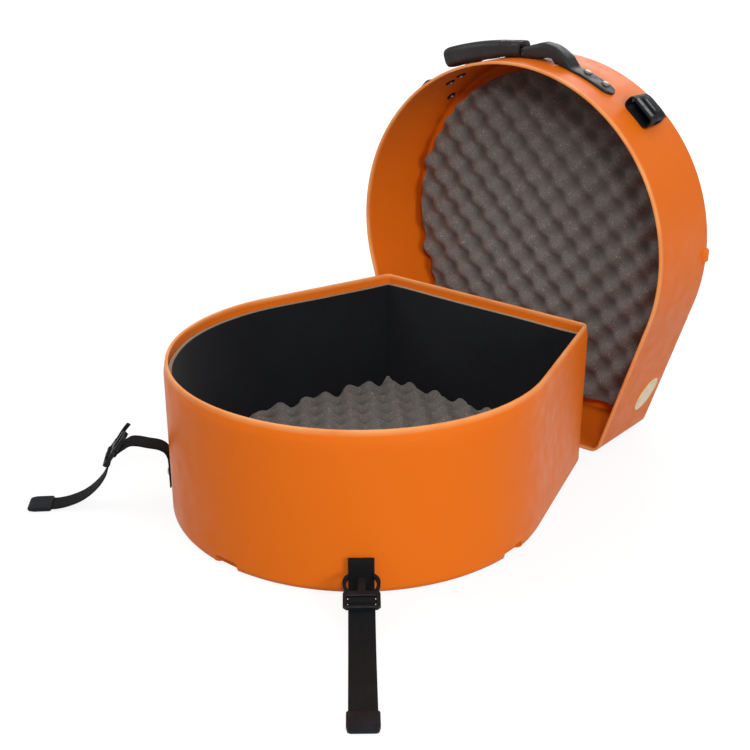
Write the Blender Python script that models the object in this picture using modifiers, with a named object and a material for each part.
"""Moulded snare drum case in two tubs, as it stands open: the base lies with its opening up, and the lid stands on
its flat foot behind it. Metres, +Z up. The origin is the centre of the round of the base, on its underside, and the
foot of the outline faces +Y.

Everything on the lid is modelled in the place it has on the closed case. One empty then turns it back about the line
that carries it from there to where it stands. Hardware on a round wall is modelled at the front, on -Y, and turned
about the case's axis to its angle."""

import math

import bmesh
import bpy
from mathutils import Matrix, Vector

# Outline of the case: a circle, two tangents and a flat foot
SHELL_RADIUS = 0.205
FOOT_DISTANCE = 0.226
FOOT_HALF_WIDTH = 0.145
FOOT_CORNER = 0.010
ROUND_STEPS = 56
CORNER_STEPS = 5

# Shells
WALL = 0.0034
BASE_HEIGHT = 0.172
BASE_DRAFT = 0.0006
LEAD_IN_HEIGHT = 0.013
LEAD_IN = 0.002
LID_DEPTH = 0.116
LID_DRAFT = 0.0006
LID_CLEARANCE = 0.0013
EDGE_ROUND = 0.007
EDGE_STEPS = 3
RIM_ROUND = 0.0011
LID_STAND_GAP = 0.032
LID_OVERLAP = 0.010

# Stacking recesses in the base's lower edge, and the lugs on the lid that fit them
STACK_ANGLES = (0.0, 90.0, -90.0)
RECESS_WIDTH = 0.030
RECESS_HEIGHT = 0.0080
RECESS_DEPTH = 0.0024
LUG_WIDTH = 0.0165
LUG_HEIGHT = 0.011
LUG_DROP = 0.003
LUG_PROUD = 0.0022
LUG_ROOT = 0.0020
LUG_ROUND = 0.0010

# Lining and foam
CLEAR = 0.0003
LINING = 0.005
LINING_DROP = 0.012
FOAM_CELL = 0.020
BASE_FOAM = (0.020, 0.036)
LID_FOAM = (0.014, 0.027)
FOAM_EASE = 0.0005
LID_FOAM_MARGIN = 0.016
LID_FOAM_FOOT_MARGIN = 0.019

# Webbing
WEB_WIDTH = 0.025
WEB_THICK = 0.0016
HARDWARE_ANGLES = {"right": 41.0, "left": 45.5}
SMOOTH_STEPS = 3

# Rivets and their washers
SHANK = 0.0020
RIVET_HEAD = 0.0050
RIVET_RISE = 0.0022
RIVET_TAIL = 0.0033
TAIL_RISE = 0.0009
WASHER_RADIUS = 0.0062
WASHER_THICK = 0.0012
PIN_STEPS = 12
RIGHT_STRAP_RIVET = 0.0265
LEFT_STRAP_RIVET = 0.0370
STRAP_RIVETS = {"right": RIGHT_STRAP_RIVET, "left": LEFT_STRAP_RIVET}
STRAP_TAB = 0.014

# Male buckle, along its own length from the end bar to the tips of its prongs
MALE_HALF_WIDTH = 0.0175
FRAME_END = 0.022
FRAME_THICK = 0.0046
SLOT_HALF_WIDTH = 0.0133
OUTER_SLOT = (0.0034, 0.0080)
INNER_SLOT = (0.0106, 0.0158)
BAR_THICK = 0.0030
TONGUE_HALF_WIDTH = 0.0036
TONGUE_END = 0.0405
PRONG_ROOT = 0.0132
PRONG_THICK = 0.0042

# Where each male buckle stands: its distance out from the wall and its height, and its lean from the floor
RIGHT_BUCKLE = (0.0535, 0.0195)
LEFT_BUCKLE = (0.0690, 0.0520)
BUCKLE_LEANS = {"right": 10.0, "left": 55.0}
BUCKLE_PLACES = {"right": (*RIGHT_BUCKLE, BUCKLE_LEANS["right"]), "left": (*LEFT_BUCKLE, BUCKLE_LEANS["left"])}

# End caps of the straps
CAP_LENGTH = 0.025
CAP_WIDTH = 0.0284
CAP_THICK = 0.0050
CAP_POCKET = 0.0175
RIGHT_CAP_START = 0.181
LEFT_CAP_START = 0.130
CAP_STARTS = {"right": RIGHT_CAP_START, "left": LEFT_CAP_START}

# Places the straps pass through, out from the wall and up: from the wall to the buckle, and from it to the floor
RIGHT_WALL_TOP = 0.0365
RIGHT_OVER_OUT = (0.0019, 0.0040, 0.0060, 0.0063, 0.0063, 0.0073, 0.0120, 0.0215)
RIGHT_OVER_UP = (0.0408, 0.0424, 0.0400, 0.0335, 0.0270, 0.0215, 0.0165, 0.0155)
RIGHT_DOWN_OUT = (0.0655, 0.0770, 0.0890, 0.1050, 0.1400)
RIGHT_DOWN_UP = (0.0108, 0.0058, 0.0027, 0.0016, 0.0014)
LEFT_WALL_TOP = 0.0510
LEFT_OVER_OUT = (0.0014, 0.0045, 0.0115, 0.0220, 0.0330, 0.0410, 0.0480)
LEFT_OVER_UP = (0.0585, 0.0650, 0.0692, 0.0716, 0.0742, 0.0742, 0.0702)
LEFT_DOWN_OUT = (0.0690, 0.0760, 0.0865, 0.0985, 0.1130)
LEFT_DOWN_UP = (0.0400, 0.0290, 0.0185, 0.0105, 0.0050)

# Sockets on the lid, from the mouth back along the wall
SOCKET_DEPTH = 0.045
SOCKET_LENGTH = 0.038
SOCKET_WIDTH = 0.0385
SOCKET_HEIGHT = 0.0155
POCKET_WIDTH = 0.0350
POCKET_HEIGHT = 0.0100
POCKET_LENGTH = 0.034
WINDOW = (0.010, 0.024)
WINDOW_HEIGHT = 0.0072
BACK_PLATE = (0.034, 0.056)
BACK_PLATE_WIDTH = 0.025
BACK_PLATE_THICK = 0.0034
SOCKET_RIVET = 0.0480

# Handle: a strap with two riveted feet, a moulded swell on its right side, and a grip pushed over to its left side
HANDLE_DEPTH = 0.050
HANDLE_RIVETS = {"right": (20.3, 27.2), "left": (29.4, 34.6)}
HANDLE_FOOT_ENDS = {"right": 31.2, "left": 37.8}
STRAP_FOOT_THICK = 0.0030
HANDLE_WIDTH = 0.0275
HANDLE_GAP = 0.0006
SWELL_ANGLES = (-1.2, 0.45, 3.2, 5.4, 8.8, 12.5, 14.5)
SWELL_THICK = (0.0122, 0.0136, 0.0168, 0.0194, 0.0182, 0.0128, 0.0074)
UNDER_GRIP_ANGLES = (22.0, 16.0, 11.5)
UNDER_GRIP_RISE = (0.0008, 0.0042, 0.0062)
GRIP_LEAN = 4.0
GRIP_RIGHT = 0.006
GRIP_LEFT = -0.112
GRIP_DROP = 0.016
GRIP_THICK = 0.0176
GRIP_GROWTH = 0.0036
GRIP_WIDTH = 0.0340
GRIP_STATIONS = 12
GRIP_SKIN = 0.0045
GRIP_SLOT_END = -0.012
GRIP_BORE_LEFT = -0.066
BORE_RUN_OUT = 0.004

TANGENT_ANGLE = math.atan2(FOOT_DISTANCE, FOOT_HALF_WIDTH) - math.acos(
    SHELL_RADIUS / math.hypot(FOOT_HALF_WIDTH, FOOT_DISTANCE))
LID_OFFSET = LID_CLEARANCE + WALL
LID_RADIUS = SHELL_RADIUS + LID_OFFSET
LID_FOOT = FOOT_DISTANCE + LID_OFFSET
CLOSED_Z = BASE_HEIGHT - LID_OVERLAP
LID_TOP_Z = CLOSED_Z + LID_DEPTH
LID_STAND_Y = FOOT_DISTANCE + LID_STAND_GAP
# The turn that takes the standing lid onto the base is about this line along X
PIVOT_Z = (LID_FOOT + CLOSED_Z - LID_STAND_Y) / 2
PIVOT_Y = LID_FOOT - PIVOT_Z
SIDES = {"right": 1, "left": -1}


def clear_scene():
    for obj in list(bpy.data.objects):
        bpy.data.objects.remove(obj, do_unlink=True)


def new_collection(name):
    made = bpy.data.collections.new(name)
    bpy.context.scene.collection.children.link(made)
    return made


def new_material(name, colour, roughness, metallic=0.0):
    made = bpy.data.materials.new(name)
    made.use_nodes = True
    shader = made.node_tree.nodes["Principled BSDF"]
    shader.inputs["Base Color"].default_value = (*colour, 1.0)
    shader.inputs["Roughness"].default_value = roughness
    shader.inputs["Metallic"].default_value = metallic
    made.diffuse_color = (*colour, 1.0)
    return made


clear_scene()
PARTS = new_collection("snare_drum_case")
CUTTERS = new_collection("cutters")
ORANGE = new_material("orange_polyethylene", (0.85, 0.20, 0.02), 0.45)
LINER = new_material("black_liner_foam", (0.012, 0.012, 0.014), 0.95)
FOAM = new_material("grey_foam", (0.11, 0.10, 0.095), 0.95)
WEBBING = new_material("black_webbing", (0.02, 0.02, 0.02), 0.8)
ACETAL = new_material("black_plastic", (0.025, 0.025, 0.025), 0.4)
STEEL = new_material("blackened_steel", (0.18, 0.18, 0.19), 0.35, 1.0)

LID_TURN = bpy.data.objects.new("lid_turn", None)
LID_TURN.location = (0.0, PIVOT_Y, PIVOT_Z)
LID_TURN.rotation_euler = (-math.pi / 2, 0.0, 0.0)
PARTS.objects.link(LID_TURN)


def on_lid(obj):
    """Hangs an object, modelled on the closed case, on the empty that turns the lid back to where it stands."""
    obj.parent = LID_TURN
    obj.matrix_parent_inverse = Matrix.Translation((0.0, -PIVOT_Y, -PIVOT_Z))
    return obj


def add_object(name, build, material):
    mesh = bpy.data.meshes.new(name)
    bmesh.ops.recalc_face_normals(build, faces=build.faces)
    build.to_mesh(mesh)
    build.free()
    mesh.materials.append(material)
    obj = bpy.data.objects.new(name, mesh)
    PARTS.objects.link(obj)
    mesh.shade_smooth()
    mesh.set_sharp_from_angle(angle=math.radians(35))
    return obj


def as_cutter(obj):
    PARTS.objects.unlink(obj)
    CUTTERS.objects.link(obj)
    obj.hide_render = True
    obj.display_type = "WIRE"
    return obj


def solidify(obj, thickness, offset=-1.0):
    made = obj.modifiers.new("thickness", "SOLIDIFY")
    made.thickness = thickness
    made.offset = offset
    made.use_even_offset = True


def bevel(obj, width, segments=2, angle=40.0):
    made = obj.modifiers.new("round", "BEVEL")
    made.width = width
    made.segments = segments
    made.limit_method = "ANGLE"
    made.angle_limit = math.radians(angle)


def boolean(obj, other, operation="DIFFERENCE"):
    made = obj.modifiers.new(operation.lower(), "BOOLEAN")
    made.object = other
    made.operation = operation
    made.solver = "EXACT"


def arc(centre, radius, start, end, steps):
    """Points on an arc, both ends included, angles in radians."""
    turns = [start + (end - start) * i / steps for i in range(steps + 1)]
    return [(centre[0] + radius * math.cos(a), centre[1] + radius * math.sin(a)) for a in turns]


def outline(offset, foot_offset=None):
    """The case's outline grown by offset, anticlockwise: the foot's two corners, then the round."""
    foot_offset = offset if foot_offset is None else foot_offset
    corner = max(FOOT_CORNER + offset, 0.003)
    centre_y = FOOT_DISTANCE + foot_offset - corner
    centre_x = (SHELL_RADIUS + offset - corner - centre_y * math.sin(TANGENT_ANGLE)) / math.cos(TANGENT_ANGLE)
    right, left = TANGENT_ANGLE, math.pi - TANGENT_ANGLE
    points = arc((centre_x, centre_y), corner, right, math.pi / 2, CORNER_STEPS)
    points += arc((-centre_x, centre_y), corner, math.pi / 2, left, CORNER_STEPS)
    points += arc((0.0, 0.0), SHELL_RADIUS + offset, left, 2 * math.pi + right, ROUND_STEPS)
    return points


def base_offset(z):
    """How far the base's outer wall is from the outline at a height: draft below, and the lead-in at the rim."""
    shoulder = BASE_HEIGHT - LEAD_IN_HEIGHT
    if z <= shoulder:
        return -BASE_DRAFT * (1 - z / shoulder)
    return -LEAD_IN * (z - shoulder) / LEAD_IN_HEIGHT


def wall_rows(build, levels):
    """Outlines at several heights, each (z, offset, foot offset), joined into one open wall."""
    rows = [[build.verts.new((x, y, z)) for x, y in outline(offset, foot)] for z, offset, foot in levels]
    for low, high in zip(rows, rows[1:]):
        for i in range(len(low)):
            j = (i + 1) % len(low)
            build.faces.new((low[i], low[j], high[j], high[i]))
    return rows


def tub(name, levels):
    """A moulded shell: the first level is its closed end and the last its rim."""
    build = bmesh.new()
    rows = wall_rows(build, levels)
    build.faces.new(rows[0])
    obj = add_object(name, build, ORANGE)
    bevel(obj, EDGE_ROUND, EDGE_STEPS)
    solidify(obj, WALL)
    bevel(obj, RIM_ROUND, 2)
    return obj


def prism(name, offset, foot_offset, low, high):
    build = bmesh.new()
    rows = wall_rows(build, [(low, offset, foot_offset), (high, offset, foot_offset)])
    build.faces.new(rows[0])
    build.faces.new(rows[1])
    return add_object(name, build, FOAM)


def rounded_rectangle(width, height, corner, steps=2):
    """Points of a rectangle with round corners about its middle, anticlockwise. No corner gives its four points."""
    if not corner:
        return [(x * width / 2, y * height / 2) for x, y in ((1, 1), (-1, 1), (-1, -1), (1, -1))]
    across, up = width / 2 - corner, height / 2 - corner
    points = arc((across, up), corner, 0, math.pi / 2, steps)
    points += arc((-across, up), corner, math.pi / 2, math.pi, steps)
    points += arc((-across, -up), corner, math.pi, 1.5 * math.pi, steps)
    points += arc((across, -up), corner, 1.5 * math.pi, 2 * math.pi, steps)
    return points


def loft(name, rings, material):
    """A closed body through rings of points, with a flat face at each end."""
    build = bmesh.new()
    rows = [[build.verts.new(point) for point in ring] for ring in rings]
    for low, high in zip(rows, rows[1:]):
        for i in range(len(low)):
            j = (i + 1) % len(low)
            build.faces.new((low[i], low[j], high[j], high[i]))
    build.faces.new(rows[0])
    build.faces.new(rows[-1])
    return add_object(name, build, material)


def boxes(name, parts, material=ACETAL):
    """One mesh of several boxes, each a (lowest corner, highest corner, matrix)."""
    build = bmesh.new()
    for low, high, matrix in parts:
        size = Vector(high) - Vector(low)
        middle = (Vector(high) + Vector(low)) / 2
        placed = matrix @ Matrix.Translation(middle) @ Matrix.Diagonal((*size, 1.0))
        bmesh.ops.create_cube(build, size=1.0, matrix=placed)
    return add_object(name, build, material)


def pins(name, radius, low, high, frames, steps=PIN_STEPS):
    """One mesh of several cylinders, each along its frame's Z from low to high."""
    build = bmesh.new()
    for frame in frames:
        placed = frame @ Matrix.Translation((0, 0, (low + high) / 2))
        bmesh.ops.create_cone(build, cap_ends=True, segments=steps, radius1=radius, radius2=radius,
                              depth=high - low, matrix=placed)
    return add_object(name, build, STEEL)


def flat_plate(name, outer, holes, thickness, material, rounding):
    """A plate in XY about z=0, from an outline with holes."""
    build = bmesh.new()
    edges = []
    for loop in [outer, *holes]:
        verts = [build.verts.new((x, y, 0.0)) for x, y in loop]
        edges += [build.edges.new((a, b)) for a, b in zip(verts, verts[1:] + verts[:1])]
    bmesh.ops.triangle_fill(build, use_beauty=True, edges=edges, normal=(0, 0, 1))
    obj = add_object(name, build, material)
    solidify(obj, thickness, offset=0.0)
    bevel(obj, rounding, 1, angle=60.0)
    return obj


def revolve(name, profile, closed, matrix, material, steps=PIN_STEPS):
    """A profile of (radius, z) turned about Z. An open one starts and ends on the axis."""
    build = bmesh.new()
    verts = [build.verts.new((r, 0.0, z)) for r, z in profile]
    edges = [build.edges.new(pair) for pair in zip(verts, verts[1:])]
    if closed:
        edges.append(build.edges.new((verts[-1], verts[0])))
    bmesh.ops.spin(build, geom=verts + edges, cent=(0, 0, 0), axis=(0, 0, 1), angle=2 * math.pi, steps=steps)
    bmesh.ops.remove_doubles(build, verts=build.verts, dist=1e-6)
    bmesh.ops.transform(build, matrix=matrix, verts=build.verts)
    return add_object(name, build, material)


def smooth_path(points):
    """A Catmull-Rom curve through points of any number of values."""
    ends = [points[0], *points, points[-1]]
    made = [tuple(points[0])]
    for a, b, c, d in zip(ends, ends[1:], ends[2:], ends[3:]):
        for i in range(1, SMOOTH_STEPS + 1):
            t = i / SMOOTH_STEPS
            made.append(tuple(
                0.5 * (2 * q + (r - p) * t + (2 * p - 5 * q + 4 * r - s) * t * t + (3 * q - p - 3 * r + s) * t ** 3)
                for p, q, r, s in zip(a, b, c, d)))
    return made


def strap_rings(path, place, width, corner_steps=1, corner=0.0):
    """Cross sections of a strap along a path of (a, b, thickness). place takes (a, b, across) to a point in space.
    corner is the round of its edges, as a share of the thickness."""
    rings = []
    for i, (a, b, thick) in enumerate(path):
        before, after = path[max(i - 1, 0)], path[min(i + 1, len(path) - 1)]
        run = Vector((after[0] - before[0], after[1] - before[1])).normalized()
        rings.append([
            place(a - run.y * up, b + run.x * up, across)
            for across, up in rounded_rectangle(width, thick, corner * thick, corner_steps)])
    return rings


def on_wall(degrees, radius, z):
    """A frame at an angle round the case whose Z points out of the wall, X along it and Y up the case."""
    turn = Matrix.Rotation(math.radians(degrees), 4, "Z")
    return turn @ Matrix.Translation((0.0, -radius, z)) @ Matrix.Rotation(math.pi / 2, 4, "X")


def rivet(name, frame, stack):
    """A domed rivet through a wall, whose outer face is at z=0 of the frame, and what lies on it out to stack."""
    tail = -WALL - 2 * CLEAR - WASHER_THICK - CLEAR
    head = stack + CLEAR
    profile = [(0.0, tail - TAIL_RISE), (RIVET_TAIL * 0.8, tail - TAIL_RISE), (RIVET_TAIL, tail), (SHANK, tail),
               (SHANK, head), (RIVET_HEAD, head), (RIVET_HEAD, head + RIVET_RISE * 0.3),
               (RIVET_HEAD * 0.75, head + RIVET_RISE * 0.75), (RIVET_HEAD * 0.4, head + RIVET_RISE * 0.96),
               (0.0, head + RIVET_RISE)]
    return revolve(name, profile, False, frame, STEEL)


def washer(name, frame):
    outer = -WALL - CLEAR
    inner = outer - WASHER_THICK
    bore = SHANK + CLEAR
    profile = [(bore, inner), (WASHER_RADIUS * 0.9, inner), (WASHER_RADIUS, (inner + outer) / 2),
               (WASHER_RADIUS, outer), (bore, outer)]
    return revolve(name, profile, True, frame, STEEL)


def hardware_turn(side):
    """Degrees round the case from its front to the strap and socket of a side."""
    return SIDES[side] * HARDWARE_ANGLES[side]


def strap_frame(side):
    z = STRAP_RIVETS[side]
    return on_wall(hardware_turn(side), SHELL_RADIUS + base_offset(z), z)


def make_base():
    shoulder = BASE_HEIGHT - LEAD_IN_HEIGHT
    levels = [(z, base_offset(z), None) for z in (0.0, shoulder, BASE_HEIGHT)]
    shell = tub("base_shell", levels)
    recesses = as_cutter(boxes("base_recesses", [
        ((-RECESS_WIDTH / 2, -SHELL_RADIUS - RECESS_DEPTH, -RECESS_DEPTH),
         (RECESS_WIDTH / 2, -SHELL_RADIUS - base_offset(0.0) + RECESS_DEPTH, RECESS_HEIGHT),
         Matrix.Rotation(math.radians(angle), 4, "Z")) for angle in STACK_ANGLES]))
    bevel(recesses, RECESS_DEPTH / 2, 1)
    holes = as_cutter(pins("base_rivet_holes", SHANK + CLEAR, -0.02, 0.02, [strap_frame(side) for side in SIDES]))
    boolean(shell, recesses)
    boolean(shell, holes)
    return holes


def make_lining():
    """Foam sheet round the wall, down to the bottom round. It covers the rivets' inner ends."""
    build = bmesh.new()
    top = BASE_HEIGHT - LINING_DROP
    low = EDGE_ROUND + CLEAR
    wall_rows(build, [(z, base_offset(z) - WALL - CLEAR, None) for z in (low, top)])
    lining = add_object("base_wall_lining", build, LINER)
    solidify(lining, LINING)
    bevel(lining, 0.0012, 1)
    pockets = as_cutter(pins("lining_pockets", WASHER_RADIUS + CLEAR, -WALL - LINING + 0.0016, 0.0,
                             [strap_frame(side) for side in SIDES]))
    boolean(lining, pockets)


def eggshell(name, low, valley, peak, form):
    """Convoluted foam: rows of peaks and hollows in turn, cut to an outline. A negative valley makes them face down."""
    build = bmesh.new()
    reach = SHELL_RADIUS + FOAM_CELL
    cells = 2 * math.ceil(reach / FOAM_CELL)
    bmesh.ops.create_grid(build, x_segments=cells, y_segments=cells, size=cells * FOAM_CELL / 2)
    for vert in build.verts:
        steps = round(vert.co.x / FOAM_CELL) + round(vert.co.y / FOAM_CELL)
        vert.co.y += FOOT_DISTANCE - SHELL_RADIUS
        vert.co.z = low + (peak if steps % 2 else valley)
    bmesh.ops.poke(build, faces=build.faces)
    rim = [edge for edge in build.edges if edge.is_boundary]
    made = bmesh.ops.extrude_edge_only(build, edges=rim)["geom"]
    for item in made:
        if isinstance(item, bmesh.types.BMVert):
            item.co.z = low
    bottom = [edge for edge in build.edges if edge.is_boundary]
    bmesh.ops.contextual_create(build, geom=bottom)
    foam = add_object(name, build, FOAM)
    boolean(foam, form, "INTERSECT")
    return foam


def make_foam():
    inside = -WALL - CLEAR - LINING - FOAM_EASE - BASE_DRAFT
    floor = WALL + CLEAR
    valley, peak = BASE_FOAM
    form = as_cutter(prism("base_foam_form", inside, None, floor + FOAM_EASE, BASE_HEIGHT))
    eggshell("base_floor_foam", floor, valley, peak, form)
    ceiling = LID_TOP_Z - WALL - CLEAR
    valley, peak = LID_FOAM
    margin, foot = LID_CLEARANCE - LID_FOAM_MARGIN, LID_CLEARANCE - LID_FOAM_FOOT_MARGIN
    form = on_lid(as_cutter(prism("lid_foam_form", margin, foot, CLOSED_Z, ceiling)))
    on_lid(eggshell("lid_foam", ceiling, -valley, -peak, form))


def lid_radius(depth):
    """Outer radius of the lid's round wall at a depth from its rim."""
    return LID_RADIUS - LID_DRAFT * depth / LID_DEPTH


def handle_frame(angle):
    return on_wall(angle, lid_radius(HANDLE_DEPTH), CLOSED_Z + HANDLE_DEPTH)


def socket_rivet_frame(side):
    depth = SOCKET_DEPTH + SOCKET_RIVET
    return on_wall(hardware_turn(side), lid_radius(depth), CLOSED_Z + depth)


def make_lid():
    shell = on_lid(tub("lid_shell", [(LID_TOP_Z, LID_OFFSET - LID_DRAFT, None), (CLOSED_Z, LID_OFFSET, None)]))
    lugs = on_lid(as_cutter(boxes("lid_lugs", [
        ((-LUG_WIDTH / 2, -LID_RADIUS - LUG_PROUD, LID_TOP_Z - LUG_DROP - LUG_HEIGHT),
         (LUG_WIDTH / 2, -LID_RADIUS + LUG_ROOT, LID_TOP_Z - LUG_DROP),
         Matrix.Rotation(math.radians(angle), 4, "Z")) for angle in STACK_ANGLES])))
    bevel(lugs, LUG_ROUND, 2)
    frames = [handle_frame(sign * angle) for side, sign in SIDES.items() for angle in HANDLE_RIVETS[side]]
    frames += [socket_rivet_frame(side) for side in SIDES]
    holes = on_lid(as_cutter(pins("lid_rivet_holes", SHANK + CLEAR, -0.02, 0.03, frames)))
    boolean(shell, lugs, "UNION")
    boolean(shell, holes)
    return holes


def buckle_matrix(side):
    """Takes the buckle's own (across, along, thickness) to its place on the strap."""
    out, height, lean = BUCKLE_PLACES[side]
    turn = Matrix.Rotation(math.radians(hardware_turn(side)), 4, "Z")
    return turn @ Matrix.Translation((0, -SHELL_RADIUS - out, height)) @ Matrix.Rotation(math.radians(lean), 4, "X")


def in_buckle(side, along, up):
    """A point of the buckle's middle plane as (distance out from the wall, height)."""
    out, height, lean = BUCKLE_PLACES[side]
    c, s = math.cos(math.radians(lean)), math.sin(math.radians(lean))
    return out - along * c + up * s, height + along * s + up * c


def rectangle(half_width, low, high, corner):
    points = rounded_rectangle(2 * half_width, high - low, corner)
    return [(x, y + (low + high) / 2) for x, y in points]


def make_male_buckle(side):
    """The ladder lock and tongue as one plate, with thinner bars for the webbing, and its two flexing prongs."""
    place = buckle_matrix(side)
    shoulder = MALE_HALF_WIDTH - 0.0012
    tongue = [(TONGUE_HALF_WIDTH, FRAME_END), (TONGUE_HALF_WIDTH, TONGUE_END - 0.003),
              (TONGUE_HALF_WIDTH * 0.5, TONGUE_END)]
    right = [(MALE_HALF_WIDTH - 0.003, 0.0), (MALE_HALF_WIDTH, 0.003), (MALE_HALF_WIDTH, FRAME_END - 0.003),
             (shoulder, FRAME_END), *tongue]
    outer = right + [(-x, y) for x, y in reversed(right)]
    holes = [rectangle(SLOT_HALF_WIDTH, *OUTER_SLOT, 0.0008), rectangle(SLOT_HALF_WIDTH, *INNER_SLOT, 0.0008)]
    body = flat_plate(f"{side}_male_buckle", outer, holes, FRAME_THICK, ACETAL, 0.0006)
    body.matrix_world = place
    thinning = as_cutter(boxes(f"{side}_bar_thinning", [
        ((-SLOT_HALF_WIDTH, OUTER_SLOT[1] - 0.001, face * BAR_THICK / 2 - (0.002 if face < 0 else 0)),
         (SLOT_HALF_WIDTH, INNER_SLOT[0] + 0.001, face * BAR_THICK / 2 + (0.002 if face > 0 else 0)),
         Matrix.Identity(4)) for face in (1, -1)]))
    thinning.matrix_world = place
    boolean(body, thinning)
    for hand, sign in SIDES.items():
        prong(f"{side}_buckle_prong_{hand}", sign, place)


def prong(name, sign, place):
    """A sprung arm that bows out to a finger pad and comes in to a barbed tip. Its origin is on its flexing root."""
    outside = [(0.0030, 0.0003), (0.0041, 0.006), (0.0047, 0.011), (0.0044, 0.0160), (0.0026, 0.0205),
               (-0.0010, 0.0242)]
    inside = [(-0.0030, 0.0236), (-0.0012, 0.0195), (0.0006, 0.0160), (0.0012, 0.011), (0.0006, 0.006),
              (-0.0018, 0.0003)]
    loop = smooth_path(outside) + smooth_path(inside)
    loop = [(sign * x, y) for x, y in loop]
    obj = flat_plate(name, loop, [], PRONG_THICK, ACETAL, 0.0005)
    obj.matrix_world = place @ Matrix.Translation((sign * PRONG_ROOT, FRAME_END, 0.0))


def buckle_run(side):
    """The webbing's way through a buckle: under its prongs, up the inner slot, over the bar, down the outer slot."""
    bar = (OUTER_SLOT[1] + INNER_SLOT[0]) / 2
    half = (INNER_SLOT[0] - OUTER_SLOT[1]) / 2 + CLEAR
    rise = BAR_THICK / 2 + WEB_THICK / 2 + 2 * CLEAR
    under = FRAME_THICK / 2 + WEB_THICK / 2 + 2 * CLEAR
    return [in_buckle(side, along, up) for along, up in (
        (INNER_SLOT[1] + 0.0036, -under - CLEAR), (INNER_SLOT[1] - 0.0006, -under), (INNER_SLOT[0] + 0.0020, 0.0),
        (bar + half, rise), (bar - half, rise), (OUTER_SLOT[1] - 0.0019, 0.0), (OUTER_SLOT[0] + 0.0006, -under),
        (OUTER_SLOT[0] - 0.0034, -under - CLEAR))]


def strap_route(side):
    """Each strap's route as (out from the wall, height): up the wall from its rivet, over to its buckle, and down."""
    hug = WEB_THICK / 2 + CLEAR
    middle = CAP_THICK / 2 + CLEAR
    cap, rivet_height = CAP_STARTS[side], STRAP_RIVETS[side]
    if side == "right":
        top, over = RIGHT_WALL_TOP, zip(RIGHT_OVER_OUT, RIGHT_OVER_UP)
        down = zip(RIGHT_DOWN_OUT, RIGHT_DOWN_UP)
    else:
        top, over = LEFT_WALL_TOP, zip(LEFT_OVER_OUT, LEFT_OVER_UP)
        down = zip(LEFT_DOWN_OUT, LEFT_DOWN_UP)
    wall = [(base_offset(z) + hug, z) for z in (rivet_height - STRAP_TAB, rivet_height, top)]
    end = [(cap - CAP_THICK, middle), (cap + CAP_THICK / 2, middle), (cap + CAP_POCKET - CLEAR * 3, middle)]
    return [*wall, *over, *buckle_run(side), *down, *end]


def make_strap(side, holes):
    turn = Matrix.Rotation(math.radians(hardware_turn(side)), 4, "Z")

    def place(out, z, across):
        return turn @ Vector((across, -SHELL_RADIUS - out, z))

    path = smooth_path([(out, z, WEB_THICK) for out, z in strap_route(side)])
    web = loft(f"{side}_strap_webbing", strap_rings(path, place, WEB_WIDTH), WEBBING)
    boolean(web, holes)
    length = sum(math.dist(a[:2], b[:2]) for a, b in zip(path, path[1:]))
    print(f"{side} strap webbing length {length:.3f} m")
    rivet(f"{side}_strap_rivet", strap_frame(side), CLEAR + WEB_THICK)
    washer(f"{side}_strap_washer", strap_frame(side))
    make_male_buckle(side)
    make_end_cap(side, place)


def make_end_cap(side, place):
    """The moulded cap closed on the webbing's end, tapered to a round edge."""
    start, middle = CAP_STARTS[side], CAP_THICK / 2 + CLEAR
    stations = [(0.0, 0.97, 0.80), (0.0015, 1.0, 1.0), (CAP_LENGTH * 0.72, 1.0, 1.0),
                (CAP_LENGTH * 0.92, 0.93, 0.86), (CAP_LENGTH, 0.82, 0.55)]
    rings = [[place(start + along, middle + up, across)
              for across, up in rounded_rectangle(CAP_WIDTH * wide, CAP_THICK * thick, 0.0011)]
             for along, wide, thick in stations]
    cap = loft(f"{side}_strap_end_cap", rings, ACETAL)
    slot_width, slot_height = WEB_WIDTH + 2.6 * CLEAR, WEB_THICK + 2.6 * CLEAR
    turn = Matrix.Rotation(math.radians(hardware_turn(side)), 4, "Z")
    pocket = as_cutter(boxes(f"{side}_cap_pocket", [
        ((-slot_width / 2, -SHELL_RADIUS - start - CAP_POCKET, middle - slot_height / 2),
         (slot_width / 2, -SHELL_RADIUS - start + 0.002, middle + slot_height / 2), turn)]))
    boolean(cap, pocket)


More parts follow.
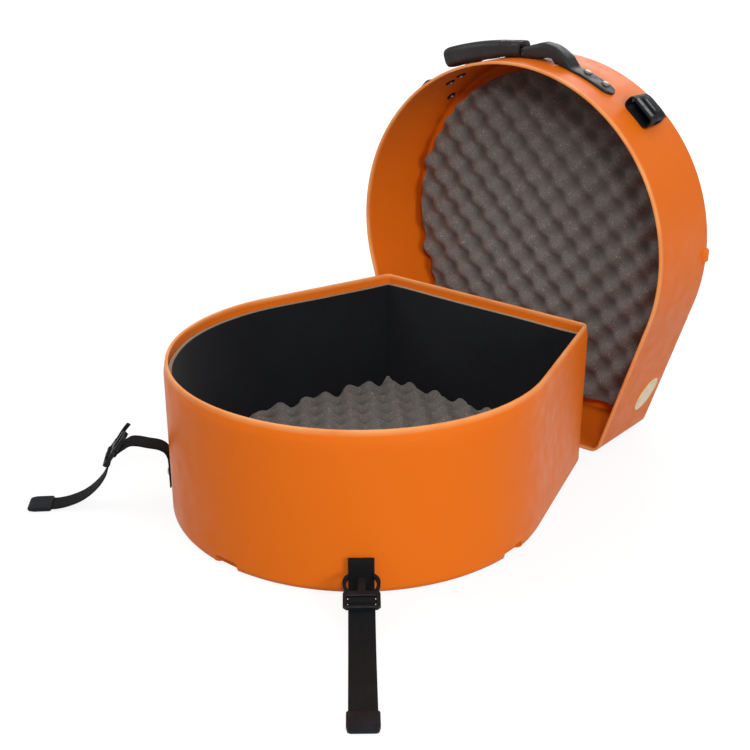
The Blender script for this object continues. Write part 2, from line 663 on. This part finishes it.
def make_socket(side, holes):
    """The buckle's socket: a flat hollow body with a window on each side, and a back plate riveted to the lid."""
    turn = Matrix.Rotation(math.radians(hardware_turn(side)), 4, "Z")
    mouth = CLOSED_Z + SOCKET_DEPTH
    back = lid_radius(SOCKET_DEPTH) + CLEAR
    plate_face = back + BACK_PLATE_THICK - lid_radius(SOCKET_DEPTH + SOCKET_RIVET)

    def ring(along, width, height, middle, corner):
        return [turn @ Vector((across, -back - middle - up, mouth + along))
                for across, up in rounded_rectangle(width, height, corner, 3)]

    middle = SOCKET_HEIGHT / 2
    body = loft(f"{side}_socket", [
        ring(0.0, SOCKET_WIDTH * 0.96, SOCKET_HEIGHT * 0.9, middle * 0.95, 0.0045),
        ring(0.0012, SOCKET_WIDTH, SOCKET_HEIGHT, middle, 0.0050),
        ring(SOCKET_LENGTH * 0.30, SOCKET_WIDTH, SOCKET_HEIGHT, middle, 0.0050),
        ring(SOCKET_LENGTH * 0.80, SOCKET_WIDTH * 0.95, SOCKET_HEIGHT, middle, 0.0050),
        ring(SOCKET_LENGTH * 0.95, SOCKET_WIDTH * 0.84, SOCKET_HEIGHT * 0.88, middle * 0.88, 0.0045),
        ring(SOCKET_LENGTH, SOCKET_WIDTH * 0.74, SOCKET_HEIGHT * 0.66, middle * 0.66, 0.0035)], ACETAL)
    pocket = loft(f"{side}_socket_pocket", [
        ring(-0.001, POCKET_WIDTH * 1.02, POCKET_HEIGHT * 1.10, middle, 0.0038),
        ring(0.0035, POCKET_WIDTH, POCKET_HEIGHT, middle, 0.0036),
        ring(POCKET_LENGTH * 0.75, POCKET_WIDTH * 0.94, POCKET_HEIGHT, middle, 0.0036),
        ring(POCKET_LENGTH, POCKET_WIDTH * 0.76, POCKET_HEIGHT * 0.8, middle * 0.95, 0.0030)], ACETAL)
    reach = SOCKET_WIDTH
    openings = boxes(f"{side}_socket_windows", [
        ((-reach, -back - middle - WINDOW_HEIGHT / 2, mouth + WINDOW[0]),
         (reach, -back - middle + WINDOW_HEIGHT / 2, mouth + WINDOW[1]), turn)])
    bevel(openings, 0.0012, 1)
    plate = boxes(f"{side}_socket_plate", [
        ((-BACK_PLATE_WIDTH / 2, -back - BACK_PLATE_THICK, mouth + BACK_PLATE[0]),
         (BACK_PLATE_WIDTH / 2, -back - CLEAR / 2, mouth + BACK_PLATE[1]), turn)])
    bevel(plate, 0.0014, 2)
    boolean(body, on_lid(as_cutter(plate)), "UNION")
    boolean(body, on_lid(as_cutter(pocket)))
    boolean(body, on_lid(as_cutter(openings)))
    boolean(body, holes)
    on_lid(body)
    on_lid(rivet(f"{side}_socket_rivet", socket_rivet_frame(side), plate_face))
    on_lid(washer(f"{side}_socket_washer", socket_rivet_frame(side)))


def grip_share(along):
    """How far along the grip a place is, 0 at its right end and 1 at its left."""
    return (GRIP_RIGHT - along) / (GRIP_RIGHT - GRIP_LEFT)


def grip_thick(along):
    return GRIP_THICK + GRIP_GROWTH * min(max(grip_share(along), 0.0), 1.0)


def grip_line(along):
    """Middle of the grip at a place along it: straight at its right end, and drooping towards its left."""
    lean = math.radians(-GRIP_LEAN)
    away = LID_RADIUS + HANDLE_GAP + grip_thick(along) / 2 - GRIP_DROP * max(grip_share(along), 0.0) ** 2.4
    return (away * math.sin(lean) + along * math.cos(lean), -away * math.cos(lean) + along * math.sin(lean))


def polar(degrees, radius):
    a = math.radians(degrees)
    return radius * math.sin(a), -radius * math.cos(a)


def at_handle(x, y, across):
    return Vector((x, y, CLOSED_Z + HANDLE_DEPTH + across))


def handle_route():
    """The handle strap from its left foot's end to its right foot's: under the grip, through it, and up to the swell.
    The swell lies on the lid, and comes as a path of its own, since it starts square at the grip's end."""
    foot = lid_radius(HANDLE_DEPTH) + CLEAR + STRAP_FOOT_THICK / 2
    thick = STRAP_FOOT_THICK
    inner, outer = HANDLE_RIVETS["left"]
    strap = [(*polar(-angle, foot), thick) for angle in (HANDLE_FOOT_ENDS["left"], outer, inner, inner - 3.2)]
    strap += [(*polar(-angle, foot + rise), thick) for angle, rise in zip(UNDER_GRIP_ANGLES, UNDER_GRIP_RISE)]
    strap += [(*grip_line(along), thick) for along in (GRIP_SLOT_END, (GRIP_SLOT_END + GRIP_RIGHT) / 2, GRIP_RIGHT,
                                                       GRIP_RIGHT + HANDLE_GAP)]
    swell = [(*polar(angle, LID_RADIUS + HANDLE_GAP + bulk / 2), bulk)
             for angle, bulk in zip(SWELL_ANGLES, SWELL_THICK)]
    inner, outer = HANDLE_RIVETS["right"]
    swell += [(*polar(angle, foot), thick) for angle in (inner - 3.8, inner, outer, HANDLE_FOOT_ENDS["right"])]
    return strap, swell


def make_handle(holes):
    strap_part, swell_part = handle_route()
    path = smooth_path(strap_part) + smooth_path(swell_part)
    length = sum(math.dist(a[:2], b[:2]) for a, b in zip(path, path[1:]))
    print(f"handle strap length {length:.3f} m")
    strap = on_lid(loft("handle_strap", strap_rings(path, at_handle, HANDLE_WIDTH, 2, 0.28), WEBBING))
    boolean(strap, holes)
    steps = [GRIP_RIGHT + (GRIP_LEFT - GRIP_RIGHT) * i / GRIP_STATIONS for i in range(GRIP_STATIONS + 1)]
    sizes = [0.96] + [1.0] * (GRIP_STATIONS - 1) + [0.80]
    stations = [(*grip_line(along), grip_thick(along) * size) for along, size in zip(steps, sizes)]
    grip = on_lid(loft("handle_grip", strap_rings(stations, at_handle, GRIP_WIDTH, 3, 0.30), ACETAL))
    boolean(grip, grip_bore())
    for hand, angle_sign in SIDES.items():
        for end, angle in zip(("inner", "outer"), HANDLE_RIVETS[hand]):
            frame = handle_frame(angle_sign * angle)
            on_lid(rivet(f"handle_rivet_{hand}_{end}", frame, CLEAR + STRAP_FOOT_THICK))
            on_lid(washer(f"handle_washer_{hand}_{end}", frame))


def grip_bore():
    """The way through the grip: a slot at its right end that opens through the underside towards its left."""
    width = HANDLE_WIDTH + 4 * CLEAR
    thin = STRAP_FOOT_THICK * 2
    stations = []
    for along, open_below in ((GRIP_RIGHT + BORE_RUN_OUT / 2, False), (GRIP_SLOT_END, False),
                              (GRIP_SLOT_END - BORE_RUN_OUT, True), (GRIP_BORE_LEFT / 2, True),
                              (GRIP_BORE_LEFT, True)):
        height = grip_thick(along) - GRIP_SKIN + BORE_RUN_OUT if open_below else thin
        shift = -(GRIP_SKIN + BORE_RUN_OUT) / 2 if open_below else 0.0
        x, y = grip_line(along)
        inward = Vector((x, y)).normalized() * shift
        stations.append((x + inward.x, y + inward.y, height))
    return on_lid(as_cutter(loft("grip_bore", strap_rings(stations, at_handle, width), ACETAL)))


base_holes = make_base()
make_lining()
make_foam()
lid_holes = make_lid()
for strap_side in SIDES:
    make_strap(strap_side, base_holes)
    make_socket(strap_side, lid_holes)
make_handle(lid_holes)
